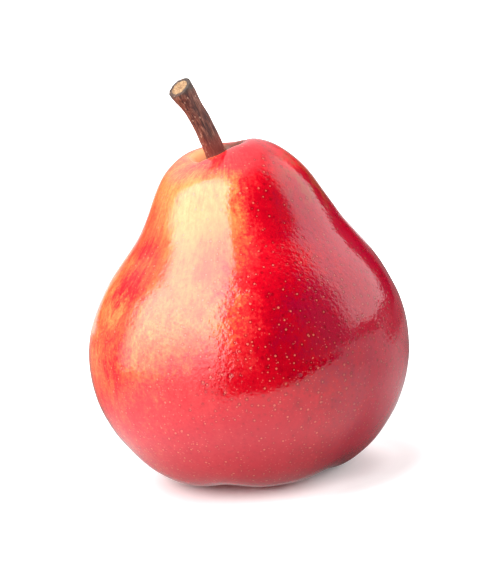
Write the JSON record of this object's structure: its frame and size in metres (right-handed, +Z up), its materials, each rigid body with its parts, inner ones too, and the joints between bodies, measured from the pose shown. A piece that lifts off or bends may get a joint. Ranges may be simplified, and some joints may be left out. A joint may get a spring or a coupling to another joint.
{
  "type": "pear",
  "caption": "Fresh ripe pear with a broad round belly, a short tapering neck, a woody stalk leaning from a slanted hollow, and a lobed blossom end with dried sepals.",
  "frame": {"origin": "on the surface the pear rests on, under the middle of its bounding box", "axes": "+Z up along the core of the fruit, -Y towards the front, where the stalk leans to the left (-X)"},
  "size_m": [0.0766, 0.0766, 0.0948],
  "materials": {
    "skin": "glossy waxy skin, red over yellow",
    "stem_bark": "rough reddish brown bark with a pale cut end",
    "dried_tuft": "dry, matte dark brown",
    "dried_sepal": "dry, matte dark brown"
  },
  "bodies": {
    "root": {"fruit": "skin", "stem": "stem_bark", "stamen_tuft": "dried_tuft", "sepal_1": "dried_sepal", "sepal_2": "dried_sepal", "sepal_3": "dried_sepal", "sepal_4": "dried_sepal", "sepal_5": "dried_sepal"}
  },
  "joints": []
}
